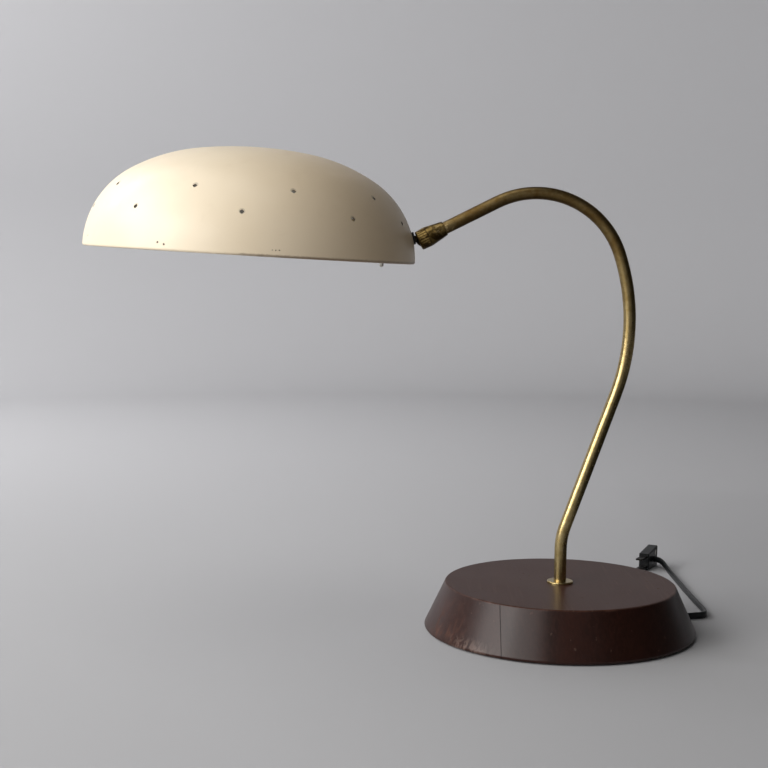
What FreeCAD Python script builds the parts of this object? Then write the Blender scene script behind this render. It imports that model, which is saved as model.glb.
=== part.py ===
import FreeCAD, Part
import math
import os
import re

import Sketcher

# Desk lamp: turned wooden base, bent brass stem, ball swivel and a spun shade.
# Millimetres. The origin is the base's axis on the surface it stands on, +Z is up,
# and the stem bends in the XZ plane, with the shade towards -X.

doc = FreeCAD.newDocument("desk_lamp")
sheet = doc.addObject("Spreadsheet::Sheet", "Sizes")

Vector = FreeCAD.Vector
X_AXIS = Vector(1, 0, 0)
Y_AXIS = Vector(0, 1, 0)
Z_AXIS = Vector(0, 0, 1)

SIZES = {
    # One length serves all cuts that run out of a piece
    "cut_overrun": 5.0,
    # Gap left round a piece that only passes through another
    "free_gap": 0.3,
    # Radial gap of a piece that turns in another, or slides over it
    "running_gap": 0.08,
    # Wooden base
    "base_height": 38.3,
    "base_top_radius": 93.3,
    "base_bottom_radius": 111.0,
    "base_foot_gap": 0.5,
    "base_top_rounding": 1.2,
    "base_bottom_rounding": 2.0,
    "recess_margin": 11.3,
    "recess_roof": 7.3,
    "felt_margin": 6.8,
    "felt_thickness": 2.0,
    "felt_slot_width": 7.0,
    "felt_slot_overlap": 7.0,
    # Iron weight and what clamps it
    "weight_margin": 12.0,
    "weight_thickness": 12.0,
    "weight_chamfer": 1.5,
    "washer_radius": 12.0,
    "washer_thickness": 1.5,
    "spring_washer_radius": 7.0,
    "spring_washer_thickness": 1.6,
    "spring_washer_split": 1.2,
    "nut_flats": 13.0,
    "nut_thickness": 4.0,
    "nipple_radius": 3.95,
    "nipple_bore": 3.0,
    "nipple_stand_out": 1.0,
    "nipple_in_stem": 12.0,
    # Foot flange
    "flange_radius": 10.7,
    "flange_thickness": 1.8,
    "flange_rounding": 0.8,
    # Bent stem, headings from upright, towards +X
    "stem_radius": 5.0,
    "stem_wall": 1.0,
    "stem_upright": 26.2,
    "stem_foot_bend": 55.0,
    "stem_lean": 19.4,
    "stem_straight": 115.4,
    "stem_middle_bend": 170.0,
    "stem_crook": -19.2,
    "stem_top_bend": 70.7,
    "stem_end_heading": -117.0,
    "stem_end_length": 58.5,
    # Swivel socket, from the ball's centre: ahead is towards the shade
    "ball_radius": 5.8,
    "collar_ahead": 3.65,
    "collar_length": 8.5,
    "collar_front_radius": 7.85,
    "collar_back_radius": 8.15,
    "collar_rounding": 1.2,
    "collar_mouth_radius": 6.35,
    "collar_lip_ahead": 2.6,
    "collar_step_ahead": 0.6,
    "collar_gap": 0.12,
    "flute_radius": 0.55,
    "flute_count": 24,
    "flute_front_land": 1.6,
    "socket_cone_length": 14.7,
    "socket_rear_radius": 5.9,
    "socket_rear_rounding": 0.5,
    "spigot_radius": 6.8,
    "spigot_ahead": 0.35,
    "chamber_radius": 6.0,
    "chamber_depth": 5.4,
    "socket_stem_depth": 12.0,
    "socket_lead_radius": 3.0,
    "set_screw_radius": 1.5,
    "set_screw_place": 9.1,
    "set_screw_slot": 0.5,
    "set_screw_turn": 12.0,
    "seat_depth": 5.35,
    "seat_top_depth": 2.2,
    "seat_bore": 3.4,
    # Ball and stud, along the stud from the ball's centre
    "stud_bore": 1.4,
    "neck_radius": 3.0,
    "neck_reach": 5.5,
    "stud_radius": 2.5,
    "stud_inside": 11.0,
    "stud_reach": 8.0,
    "stud_height": 20.6,
    # Spun shade
    "shade_tilt": 2.65,
    "shade_rim_radius": 131.5,
    "shade_wall": 0.9,
    "shade_shoulder_radius": 73.3,
    "shade_middle_radius": 139.8,
    "shade_middle_angle": 31.1,
    "shade_crown_angle": 8.85,
    "shade_hem_radius": 1.8,
    "shade_hem_lip": 2.2,
    # Star-shaped vents, in two rows
    "star_reach": 1.15,
    "star_lobe": 0.95,
    "star_depth": 3.0,
    "upper_vent_height": 48.0,
    "lower_vent_height": 31.0,
    # Washers and nut of the shade
    "outer_washer_radius": 5.0,
    "outer_washer_thickness": 1.6,
    "inner_washer_radius": 5.5,
    "inner_washer_edge": 0.7,
    "shade_nut_flats": 8.0,
    "shade_nut_thickness": 3.0,
    # Lampholder and bulb, along the stud
    "cap_hub_radius": 4.5,
    "cap_hub_length": 4.5,
    "cap_wall": 0.8,
    "cap_dome_length": 9.5,
    "cap_skirt_length": 3.0,
    "shell_radius": 13.5,
    "shell_wall": 0.6,
    "shell_length": 39.0,
    "shell_bead": 0.8,
    "liner_wall": 0.7,
    "block_radius": 10.8,
    "block_length": 14.0,
    "block_behind": 4.5,
    "screw_shell_radius": 7.6,
    "screw_shell_wall": 0.4,
    "screw_shell_length": 17.0,
    "contact_width": 4.0,
    "contact_thickness": 0.5,
    "contact_spring": 3.0,
    "terminal_radius": 1.6,
    "terminal_length": 3.0,
    "terminal_spread": 6.6,
    "head_lead_radius": 1.1,
    "bulb_cap_radius": 6.8,
    "bulb_cap_length": 16.0,
    "bulb_contact_radius": 3.0,
    "bulb_contact_length": 1.6,
    "bulb_neck_radius": 6.3,
    "bulb_radius": 17.0,
    "bulb_length": 78.0,
    "bulb_tip_radius": 3.0,
    "bulb_tip_share": 0.5,
    "bulb_belly_share": 0.42,
    # Turn key of the lampholder
    "key_place": 31.7,
    "key_shaft_radius": 1.8,
    "key_root": 7.5,
    "key_shaft_end": 16.6,
    "key_reach": 24.0,
    "key_width": 10.0,
    "key_thickness": 3.2,
    "key_rounding": 1.4,
    # Flat twin flex, standing on its edge
    "flex_thickness": 2.9,
    "flex_height": 5.6,
    "flex_azimuth": 16.7,
    "flex_start_margin": 4.0,
    "flex_inside": 10.0,
    "lead_radius": 2.2,
    "lead_height": 5.2,
    "lead_bend": 6.0,
    "stop_setback": 6.0,
    "stop_length": 5.0,
    "stop_wall": 2.0,
    # Plug, standing on its narrow edge
    "plug_across": 112.1,
    "plug_along": 225.0,
    "plug_turn": -29.0,
    "plug_thickness": 10.2,
    "plug_length": 27.0,
    "plug_front_height": 16.0,
    "plug_back_height": 20.0,
    "plug_rounding": 1.2,
    "plug_entry_share": 0.6,
    "plug_entry_height": 8.4,
    "blade_width": 6.35,
    "blade_thickness": 1.5,
    "blade_spacing": 9.5,
    "blade_reach": 15.0,
    "blade_inside": 8.0,
    "plug_screw_radius": 1.7,
    "plug_screw_head": 2.8,
    "plug_screw_head_depth": 1.6,
}

# Sizes of the base's inside, which follow its outer form
FOLLOWING = {
    "felt_radius": "base_bottom_radius - felt_margin",
    "recess_radius": "base_top_radius - recess_margin",
    "weight_radius": "recess_radius - weight_margin",
    "felt_slot_start": "recess_radius - felt_slot_overlap",
    "flex_start": "base_bottom_radius - flex_start_margin",
    "flex_inner_end": "recess_radius - flex_inside",
    "stop_start": "recess_radius - stop_setback",
}

# Where the vents stand round the shade, in degrees from -Y towards +X
UPPER_VENTS = (90.0, 57.5, 19.3, -17.1, -59.3, -90.0, -120.7, -162.9, 160.7, 122.5)
LOWER_VENTS = (72.2, 40.8, 1.2, -38.2, -72.7, -107.3, -141.8, 178.8, 139.2, 107.8)

# Route of the free flex from the base to the plug
CORD_ROUTE = (
    (102.5, 30.8, 2.8),
    (111.2, 33.0, 2.8),
    (120.4, 35.6, 2.8),
    (127.2, 38.0, 2.8),
    (130.4, 42.6, 2.8),
    (131.4, 49.6, 2.8),
    (131.8, 62.0, 2.8),
    (131.4, 84.0, 2.8),
    (131.7, 108.0, 2.8),
    (131.8, 134.0, 2.8),
    (132.5, 160.0, 2.8),
    (132.9, 186.0, 2.8),
    (133.3, 204.0, 2.8),
    (133.0, 216.5, 3.8),
    (131.6, 227.5, 6.4),
    (128.5, 234.4, 8.4),
    (122.6, 237.7, 8.4),
)

rows = list(SIZES.items()) + [(alias, f"={text}") for alias, text in FOLLOWING.items()]
for row, (alias, size) in enumerate(rows, start=1):
    sheet.set(f"A{row}", alias)
    sheet.setAlias(f"B{row}", alias)
    sheet.set(f"B{row}", str(size))
doc.recompute()

sub_parts = []


def bound(text):
    """An expression in named sizes, made to read them from the sheet."""
    return re.sub(r"\b[a-z]+_[a-z_]+\b", r"Sizes.\g<0>", text)


def number(text):
    """What an expression in named sizes comes to."""
    return float(sheet.evalExpression(text))


def piece(kind, label, placement=None):
    """A new sub-part, which is written to the file of its label."""
    item = doc.addObject(kind, label)
    item.Label = label
    if placement is not None:
        item.Placement = placement
    sub_parts.append(item)
    return item


def tool(kind, label, **sizes):
    """A primitive or boolean that shapes a sub-part, its sizes bound to the sheet."""
    item = doc.addObject(kind, label)
    for name, text in sizes.items():
        item.setExpression(name, bound(text))
    return item


def sketch_on(body, plane, label):
    """An empty sketch on one of the body's own origin planes."""
    sketch = body.newObject("Sketcher::SketchObject", label)
    origin_plane = next(item for item in body.Origin.OriginFeatures if item.Role == plane)
    sketch.AttachmentSupport = [(origin_plane, "")]
    sketch.MapMode = "FlatFace"
    return sketch


def fix_point(sketch, edge, end, across, up):
    """Hold one end of an edge at a place given in named sizes."""
    for kind, axis, text in (("DistanceX", -2, across), ("DistanceY", -1, up)):
        if text == "0":
            sketch.addConstraint(Sketcher.Constraint("PointOnObject", edge, end, axis))
            continue
        index = sketch.addConstraint(Sketcher.Constraint(kind, -1, 1, edge, end, number(text)))
        name = f"place_{index}"
        sketch.renameConstraint(index, name)
        sketch.setExpression(f"Constraints.{name}", bound(text))


def fix_radius(sketch, edge, text):
    """Bind the radius of an arc or circle to the sheet."""
    index = sketch.addConstraint(Sketcher.Constraint("Radius", edge, number(text)))
    name = f"radius_{index}"
    sketch.renameConstraint(index, name)
    sketch.setExpression(f"Constraints.{name}", bound(text))


def arc_between(start, end, radius):
    """An arc of under a half turn, to the left for a positive radius."""
    middle = (start + end) * 0.5
    chord = end - start
    rise = math.sqrt(radius ** 2 - (chord.Length * 0.5) ** 2)
    left = Vector(-chord.y, chord.x, 0).normalize()
    centre = middle + left * math.copysign(rise, radius)
    first, last = (start, end) if radius > 0 else (end, start)
    from_angle = math.atan2(first.y - centre.y, first.x - centre.x)
    to_angle = math.atan2(last.y - centre.y, last.x - centre.x)
    return Part.ArcOfCircle(Part.Circle(centre, Z_AXIS, abs(radius)), from_angle, to_angle)


def draw(sketch, corners, closed=True):
    """Lines and arcs through corners (across, up), each followed by the radius of the arc
    that leaves it where its edge is an arc, negative where the arc turns right."""
    points = [Vector(number(corner[0]), number(corner[1]), 0) for corner in corners]
    count = len(corners) if closed else len(corners) - 1
    first_edge = sketch.GeometryCount
    ends = []
    for index in range(count):
        start, end = points[index], points[(index + 1) % len(points)]
        edge = first_edge + index
        if len(corners[index]) == 3:
            text = corners[index][2]
            radius = number(text)
            sketch.addGeometry(arc_between(start, end, radius), False)
            fix_radius(sketch, edge, text if radius > 0 else f"-({text})")
            ends.append((1, 2) if radius > 0 else (2, 1))
        else:
            sketch.addGeometry(Part.LineSegment(start, end), False)
            ends.append((1, 2))
    for index in range(count):
        fix_point(sketch, first_edge + index, ends[index][0], *corners[index][:2])
        following = (index + 1) % count
        if following or closed:
            sketch.addConstraint(Sketcher.Constraint(
                "Coincident", first_edge + index, ends[index][1],
                first_edge + following, ends[following][0]))
    if not closed:
        fix_point(sketch, first_edge + count - 1, ends[-1][1], *corners[-1][:2])


def draw_circle(sketch, across, up, radius):
    """A circle at a place and of a radius given in named sizes."""
    centre = Vector(number(across), number(up), 0)
    edge = sketch.addGeometry(Part.Circle(centre, Z_AXIS, number(radius)), False)
    fix_point(sketch, edge, 3, across, up)
    fix_radius(sketch, edge, radius)


def box_corners(left, right, low, high):
    """The corners of an upright rectangle."""
    return ((left, low), (right, low), (right, high), (left, high))


def hexagon(flats):
    """The corners of a hexagon of a width across flats."""
    return [(f"{flats}/sqrt(3)*cos({turn})", f"{flats}/sqrt(3)*sin({turn})")
            for turn in range(30, 390, 60)]


def revolve(body, corners):
    """Turn an outline of (radius, height) about the body's Z axis."""
    sketch = sketch_on(body, "XZ_Plane", body.Label + "_profile")
    draw(sketch, corners)
    feature = body.newObject("PartDesign::Revolution", body.Label + "_turning")
    feature.Profile = sketch
    feature.ReferenceAxis = (sketch, ["V_Axis"])
    feature.Angle = 360
    sketch.Visibility = False
    return feature


def turned(label, placement, corners):
    """A turned sub-part."""
    body = piece("PartDesign::Body", label, placement)
    revolve(body, corners)
    return body


def pad(body, sketch, length, midplane=False):
    """Thicken a sketch into the body."""
    feature = body.newObject("PartDesign::Pad", sketch.Label + "_pad")
    feature.Profile = sketch
    feature.setExpression("Length", bound(length))
    feature.Midplane = midplane
    return feature


def pocket(body, sketch, length, midplane=False, flip=False):
    """Cut a sketch into the body, and see that it really took something away."""
    doc.recompute()
    before = body.Shape.Volume
    feature = body.newObject("PartDesign::Pocket", sketch.Label + "_pocket")
    feature.Profile = sketch
    feature.setExpression("Length", bound(length))
    feature.Midplane = midplane
    feature.Reversed = flip
    doc.recompute()
    if body.Shape.Volume >= before:
        raise ValueError(f"{sketch.Label} cuts nothing")
    return feature


def round_rims(body, kind, size, radius, height):
    """Round or chamfer the circular edges of a radius and height on the body's axis."""
    doc.recompute()
    base = body.Tip
    wanted_radius, wanted_height = number(radius), number(height)
    names = []
    for index, edge in enumerate(base.Shape.Edges, start=1):
        if isinstance(edge.Curve, Part.Circle):
            centre = edge.Curve.Center
            if math.isclose(edge.Curve.Radius, wanted_radius, abs_tol=1e-4) \
                    and math.isclose(centre.z, wanted_height, abs_tol=1e-4):
                names.append(f"Edge{index}")
    if not names:
        raise ValueError(f"{body.Label} has no rim there")
    feature = body.newObject(f"PartDesign::{kind}", f"{body.Label}_{kind.lower()}")
    feature.Base = (base, names)
    feature.setExpression("Radius" if kind == "Fillet" else "Size", bound(size))
    return feature


def turn_about_y(position, degrees):
    """A placement whose Z axis leans by an angle from upright towards +X."""
    return FreeCAD.Placement(position, FreeCAD.Rotation(Y_AXIS, degrees))


def moved(frame, x=0.0, y=0.0, z=0.0, axis=Z_AXIS, degrees=0.0):
    """A placement within another, given there."""
    inner = FreeCAD.Placement(Vector(x, y, z), FreeCAD.Rotation(axis, degrees))
    return frame.multiply(inner)


# Heights of the stack that the nipple clamps, from the top of the base down
upright = FreeCAD.Placement()
weight_top = "(base_height - recess_roof)"
weight_bottom = f"({weight_top} - weight_thickness)"
washer_bottom = f"({weight_bottom} - washer_thickness)"
spring_washer_bottom = f"({washer_bottom} - spring_washer_thickness)"
nut_bottom = f"({spring_washer_bottom} - nut_thickness)"
nipple_bottom = f"({nut_bottom} - nipple_stand_out)"
clamp_bore = "(nipple_radius + free_gap)"
flange_top = "(base_height + flange_thickness)"

# Wooden base: a turned disc, hollow underneath, with a groove for the flex
flex_frame = FreeCAD.Placement(Vector(), FreeCAD.Rotation(Z_AXIS, number("flex_azimuth")))
wooden_base = turned("wooden_base", flex_frame, (
    (clamp_bore, weight_top),
    ("recess_radius", weight_top),
    ("recess_radius", "felt_thickness"),
    ("felt_radius + free_gap", "felt_thickness"),
    ("felt_radius + free_gap", "base_foot_gap"),
    ("base_bottom_radius", "base_foot_gap"),
    ("base_top_radius", "base_height"),
    (clamp_bore, "base_height"),
))
round_rims(wooden_base, "Fillet", "base_top_rounding", "base_top_radius", "base_height")
round_rims(wooden_base, "Fillet", "base_bottom_rounding", "base_bottom_radius", "base_foot_gap")
flex_rise = "((lead_height - flex_height/2)/(flex_start - flex_inner_end))"
groove_outer_top = "(flex_height + free_gap)"
groove_inner_top = f"({groove_outer_top} + (flex_start - recess_radius)*{flex_rise} + free_gap)"
groove_sketch = sketch_on(wooden_base, "XZ_Plane", "flex_groove")
draw(groove_sketch, (
    ("recess_radius - cut_overrun", "0"),
    ("base_bottom_radius + cut_overrun", "0"),
    ("base_bottom_radius + cut_overrun", groove_outer_top),
    ("flex_start", groove_outer_top),
    ("recess_radius - cut_overrun", groove_inner_top),
))
pocket(wooden_base, groove_sketch, "flex_thickness + 2*free_gap", midplane=True)

# Felt disc in the rebate, slit where the flex comes up
base_felt = piece("PartDesign::Body", "base_felt", flex_frame)
felt_sketch = sketch_on(base_felt, "XY_Plane", "felt_disc")
draw_circle(felt_sketch, "0", "0", "felt_radius")
pad(base_felt, felt_sketch, "felt_thickness")
felt_slot = sketch_on(base_felt, "XY_Plane", "felt_slot")
draw(felt_slot, box_corners("felt_slot_start", "felt_radius + cut_overrun",
                            "-felt_slot_width/2", "felt_slot_width/2"))
pocket(base_felt, felt_slot, "felt_thickness", flip=True)

# Iron weight against the roof of the recess
base_weight = turned("base_weight", upright, (
    (clamp_bore, weight_bottom),
    ("weight_radius", weight_bottom),
    ("weight_radius", weight_top),
    (clamp_bore, weight_top),
))
round_rims(base_weight, "Chamfer", "weight_chamfer", "weight_radius", weight_bottom)

# Nipple with its washers and nut
nipple_top = f"({flange_top} + nipple_in_stem)"
turned("stem_nipple", upright, (
    ("nipple_bore", nipple_bottom),
    ("nipple_radius", nipple_bottom),
    ("nipple_radius", nipple_top),
    ("nipple_bore", nipple_top),
))
turned("nipple_washer", upright, (
    (clamp_bore, washer_bottom),
    ("washer_radius", washer_bottom),
    ("washer_radius", weight_bottom),
    (clamp_bore, weight_bottom),
))
spring_washer = turned("nipple_spring_washer", upright, (
    (clamp_bore, spring_washer_bottom),
    ("spring_washer_radius", spring_washer_bottom),
    ("spring_washer_radius", washer_bottom),
    (clamp_bore, washer_bottom),
))
split_sketch = sketch_on(spring_washer, "XZ_Plane", "washer_split")
draw(split_sketch, box_corners("nipple_radius", "spring_washer_radius + cut_overrun",
                               spring_washer_bottom, washer_bottom))
pocket(spring_washer, split_sketch, "spring_washer_split", midplane=True)
nipple_nut = piece("PartDesign::Body", "nipple_nut", moved(upright, z=number(nut_bottom)))
nut_sketch = sketch_on(nipple_nut, "XY_Plane", "nipple_nut_outline")
draw(nut_sketch, hexagon("nut_flats"))
draw_circle(nut_sketch, "0", "0", "nipple_radius + running_gap")
pad(nipple_nut, nut_sketch, "nut_thickness")

# Flange between the base and the stem
foot_flange = turned("foot_flange", upright, (
    (clamp_bore, "base_height"),
    ("flange_radius", "base_height"),
    ("flange_radius", flange_top),
    (clamp_bore, flange_top),
))
round_rims(foot_flange, "Fillet", "flange_rounding", "flange_radius", flange_top)


# Stem: a tube along straight runs and tangent arcs
def stem_corners():
    """The stem's centre line from the top of the flange, in named sizes."""
    corners = [("0", "0"), ("0", "stem_upright", "-stem_foot_bend")]
    across = "stem_foot_bend*(1 - cos(stem_lean))"
    up = "stem_upright + stem_foot_bend*sin(stem_lean)"
    corners.append((across, up))
    across += " + stem_straight*sin(stem_lean)"
    up += " + stem_straight*cos(stem_lean)"
    corners.append((across, up, "stem_middle_bend"))
    across += " + stem_middle_bend*(cos(stem_crook) - cos(stem_lean))"
    up += " + stem_middle_bend*(sin(stem_lean) - sin(stem_crook))"
    corners.append((across, up, "stem_top_bend"))
    across += " + stem_top_bend*(cos(stem_end_heading) - cos(stem_crook))"
    up += " + stem_top_bend*(sin(stem_crook) - sin(stem_end_heading))"
    corners.append((across, up))
    across += " + stem_end_length*sin(stem_end_heading)"
    up += " + stem_end_length*cos(stem_end_heading)"
    corners.append((across, up))
    return corners


stem_frame = moved(upright, z=number(flange_top))
stem_tube = piece("PartDesign::Body", "stem_tube", stem_frame)
stem_path = sketch_on(stem_tube, "XZ_Plane", "stem_path")
draw(stem_path, stem_corners(), closed=False)
stem_ring = sketch_on(stem_tube, "XY_Plane", "stem_ring")
draw_circle(stem_ring, "0", "0", "stem_radius")
draw_circle(stem_ring, "0", "0", "stem_radius - stem_wall")
stem_sweep = stem_tube.newObject("PartDesign::AdditivePipe", "stem_sweep")
stem_sweep.Profile = stem_ring
stem_sweep.Spine = (stem_path, [])

# Frames of the swivel, stud, shade and lampholder. The swivel's Z axis runs from the
# ball towards the shade, and so does the stud's, which stays square to the shade's axis.
stem_end_corner = stem_corners()[-1]
stem_end = stem_frame.multVec(
    Vector(number(stem_end_corner[0]), 0, number(stem_end_corner[1])))
socket_rear = "(collar_length - collar_ahead + socket_cone_length)"
stem_stop = f"({socket_rear} - socket_stem_depth)"
swivel_heading = turn_about_y(Vector(), number("stem_end_heading"))
ball_centre = stem_end + swivel_heading.multVec(Vector(0, 0, number(stem_stop)))
swivel_frame = turn_about_y(ball_centre, number("stem_end_heading"))
stud_frame = turn_about_y(ball_centre, number("shade_tilt") - 90)
shoulder_x = "(shade_rim_radius - shade_shoulder_radius)"
wall_at_stud = f"({shoulder_x} + sqrt(shade_shoulder_radius^2 - stud_height^2))"
shade_turn = turn_about_y(Vector(), number("shade_tilt"))
ball_in_shade = Vector(number(f"{wall_at_stud} + stud_reach"), 0, number("stud_height"))
head_frame = turn_about_y(ball_centre - shade_turn.multVec(ball_in_shade), number("shade_tilt"))

# Swivel socket: cone over the stem's end, spigot and chamber for the ball
collar_back = "(collar_length - collar_ahead)"
socket_frame = moved(swivel_frame, degrees=number("set_screw_turn"))
swivel_socket = turned("swivel_socket", socket_frame, (
    ("stem_radius + running_gap", f"-{socket_rear}"),
    ("socket_rear_radius", f"-{socket_rear}"),
    ("collar_back_radius", f"-{collar_back}"),
    ("spigot_radius", f"-{collar_back}"),
    ("spigot_radius", "spigot_ahead"),
    ("chamber_radius", "spigot_ahead"),
    ("chamber_radius", "-chamber_depth"),
    ("socket_lead_radius", "-chamber_depth"),
    ("socket_lead_radius", f"-{stem_stop}"),
    ("stem_radius + running_gap", f"-{stem_stop}"),
))
round_rims(swivel_socket, "Fillet", "socket_rear_rounding", "socket_rear_radius", f"-{socket_rear}")
set_screw_height = f"(set_screw_place - {socket_rear})"
screw_hole = sketch_on(swivel_socket, "XZ_Plane", "set_screw_hole")
draw_circle(screw_hole, "0", set_screw_height, "set_screw_radius")
pocket(swivel_socket, screw_hole, "collar_back_radius + cut_overrun", flip=True)

# Slotted set screw, which bears on the stem
screw_frame = moved(socket_frame, z=number(set_screw_height), axis=X_AXIS, degrees=90)
screw_top = "(socket_rear_radius + (collar_back_radius - socket_rear_radius)" \
            "*set_screw_place/socket_cone_length)"
swivel_set_screw = turned("swivel_set_screw", screw_frame, (
    ("0", "stem_radius"),
    ("set_screw_radius - running_gap", "stem_radius"),
    ("set_screw_radius - running_gap", screw_top),
    ("0", screw_top),
))
slot_sketch = sketch_on(swivel_set_screw, "XZ_Plane", "set_screw_slot_cut")
draw(slot_sketch, box_corners("-set_screw_radius", "set_screw_radius",
                              f"{screw_top} - set_screw_slot", f"{screw_top} + set_screw_slot"))
pocket(swivel_set_screw, slot_sketch, "set_screw_slot", midplane=True)

# Fluted clamping ring, whose lip holds the ball in
seat_sphere = "(ball_radius + running_gap)"
lip_radius = f"sqrt({seat_sphere}^2 - collar_lip_ahead^2)"
step_radius = f"sqrt({seat_sphere}^2 - collar_step_ahead^2)"
collar_bore = "(spigot_radius + running_gap)"
swivel_collar = turned("swivel_collar", swivel_frame, (
    (collar_bore, f"collar_gap - {collar_back}"),
    ("collar_back_radius", f"collar_gap - {collar_back}"),
    ("collar_front_radius", "collar_ahead"),
    ("collar_mouth_radius", "collar_ahead"),
    (lip_radius, "collar_lip_ahead", f"-{seat_sphere}"),
    (step_radius, "collar_step_ahead"),
    (collar_bore, "collar_step_ahead"),
))
round_rims(swivel_collar, "Fillet", "collar_rounding", "collar_front_radius", "collar_ahead")
flute_sketch = sketch_on(swivel_collar, "XY_Plane", "collar_flute")
draw_circle(flute_sketch, "collar_back_radius + flute_radius/2", "0", "flute_radius")
flute_sketch.setExpression("AttachmentOffset.Base.z",
                           bound("collar_ahead - flute_front_land"))
flute_cut = pocket(swivel_collar, flute_sketch, "collar_length")
flutes = swivel_collar.newObject("PartDesign::PolarPattern", "collar_flutes")
flutes.Originals = [flute_cut]
flutes.Axis = (flute_sketch, ["N_Axis"])
flutes.Angle = 360
flutes.setExpression("Occurrences", "Sizes.flute_count")
swivel_collar.Tip = flutes

# Friction ring behind the ball
seat_outer = "(chamber_radius - running_gap)"
turned("swivel_seat", swivel_frame, (
    ("seat_bore", "-seat_depth"),
    (seat_outer, "-seat_depth"),
    (seat_outer, "-seat_top_depth"),
    (f"sqrt({seat_sphere}^2 - seat_top_depth^2)", "-seat_top_depth", f"-{seat_sphere}"),
    ("seat_bore", f"-sqrt({seat_sphere}^2 - seat_bore^2)"),
))

# Ball and hollow stud
stud_end = "(stud_reach + stud_inside)"
turned("swivel_ball", stud_frame, (
    ("stud_bore", "-sqrt(ball_radius^2 - stud_bore^2)", "ball_radius"),
    ("neck_radius", "sqrt(ball_radius^2 - neck_radius^2)"),
    ("neck_radius", "neck_reach"),
    ("stud_radius", "neck_reach"),
    ("stud_radius", stud_end),
    ("stud_bore", stud_end),
))


# Spun shade: crown, middle and shoulder arcs that run into each other, and a turned-in hem
def shade_outline(inset, with_hem):
    """Corners of the shade's section down from the apex, a distance inside its outer face."""
    shoulder = f"(shade_shoulder_radius - {inset})"
    middle = f"(shade_middle_radius - {inset})"
    between = "(shade_middle_radius - shade_shoulder_radius)"
    middle_x = f"({shoulder_x} - {between}*sin(shade_middle_angle))"
    middle_z = f"(-{between}*cos(shade_middle_angle))"
    crown_offset = f"({middle_x}/sin(shade_crown_angle))"
    crown = f"(shade_middle_radius + {crown_offset} - {inset})"
    crown_z = f"({middle_z} - {crown_offset}*cos(shade_crown_angle))"
    corners = [
        ("0", f"{crown_z} + {crown}", f"-{crown}"),
        (f"{middle_x} + {middle}*sin(shade_crown_angle)",
         f"{middle_z} + {middle}*cos(shade_crown_angle)", f"-{middle}"),
        (f"{shoulder_x} + {shoulder}*sin(shade_middle_angle)",
         f"{shoulder}*cos(shade_middle_angle)", f"-{shoulder}"),
    ]
    if not with_hem:
        return corners + [(f"{shoulder_x} + {shoulder}", "0"), ("0", "0")]
    hem = f"(shade_hem_radius - {inset})"
    hem_span = "(shade_shoulder_radius - shade_hem_radius)"
    hem_x = f"sqrt({hem_span}^2 - shade_hem_radius^2)"
    corners.append((f"{shoulder_x} + {shoulder}*{hem_x}/{hem_span}",
                    f"{shoulder}*shade_hem_radius/{hem_span}", f"-{hem}"))
    corners.append((f"{shoulder_x} + {hem_x}", inset))
    corners.append((f"{shoulder_x} + {hem_x} - shade_hem_lip", inset))
    return corners


def backwards(corners):
    """The same outline run the other way, its arcs turning the other way too."""
    result = []
    for index in range(len(corners) - 1, -1, -1):
        arc = corners[index - 1][2:] if index else ()
        result.append(tuple(corners[index][:2]) + tuple(f"-({text})" for text in arc))
    return result


def vent_tool(label, height, turn):
    """A star prism that stands square to the shade's wall at a height and azimuth."""
    slope = math.asin(number(height) / number("shade_shoulder_radius"))
    radius = number(shoulder_x) + number("shade_shoulder_radius") * math.cos(slope)
    azimuth = math.radians(turn)
    around = Vector(math.sin(azimuth), -math.cos(azimuth), 0)
    outward = around * math.cos(slope) + Z_AXIS * math.sin(slope)
    place = around * radius + Z_AXIS * number(height) - outward * number("star_depth")
    sideways = Z_AXIS.cross(around)
    prism = doc.addObject("Part::Extrusion", label)
    prism.Base = star
    prism.DirMode = "Custom"
    prism.Dir = Z_AXIS
    prism.Solid = True
    prism.setExpression("LengthFwd", bound("2*star_depth"))
    rotation = FreeCAD.Rotation(sideways, outward.cross(sideways), outward, "ZXY")
    prism.Placement = FreeCAD.Placement(place, rotation)
    return prism


star = doc.addObject("Sketcher::SketchObject", "vent_star")
lobe_meet = "(star_reach + sqrt(2*star_lobe^2 - star_reach^2))/2"
draw(star, (
    (lobe_meet, f"-{lobe_meet}", "star_lobe"),
    (lobe_meet, lobe_meet, "star_lobe"),
    (f"-{lobe_meet}", lobe_meet, "star_lobe"),
    (f"-{lobe_meet}", f"-{lobe_meet}", "star_lobe"),
))
spinning = doc.addObject("PartDesign::Body", "shade_spinning")
revolve(spinning, shade_outline("0", True) + backwards(shade_outline("shade_wall", True)))
vents = [vent_tool("upper_vent", "upper_vent_height", turn) for turn in UPPER_VENTS]
vents += [vent_tool("lower_vent", "lower_vent_height", turn) for turn in LOWER_VENTS]
stud_hole = tool("Part::Cylinder", "shade_stud_hole", Radius="stud_radius + free_gap",
                 Height="shade_rim_radius")
stud_hole.Placement = FreeCAD.Placement(
    Vector(number("shade_rim_radius/2"), 0, number("stud_height")), FreeCAD.Rotation(Y_AXIS, 90))
shade_cuts = doc.addObject("Part::MultiFuse", "shade_cuts")
shade_cuts.Shapes = vents + [stud_hole]
shade = piece("Part::Cut", "shade", head_frame)
shade.Base = spinning
shade.Tool = shade_cuts


# Washers that follow the sloping wall, shaped by the shade's inner and outer forms
def shade_form(label, inset):
    """A solid of the shade's form, a distance inside its outer face."""
    form = doc.addObject("PartDesign::Body", label)
    revolve(form, shade_outline(inset, False))
    return form


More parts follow.
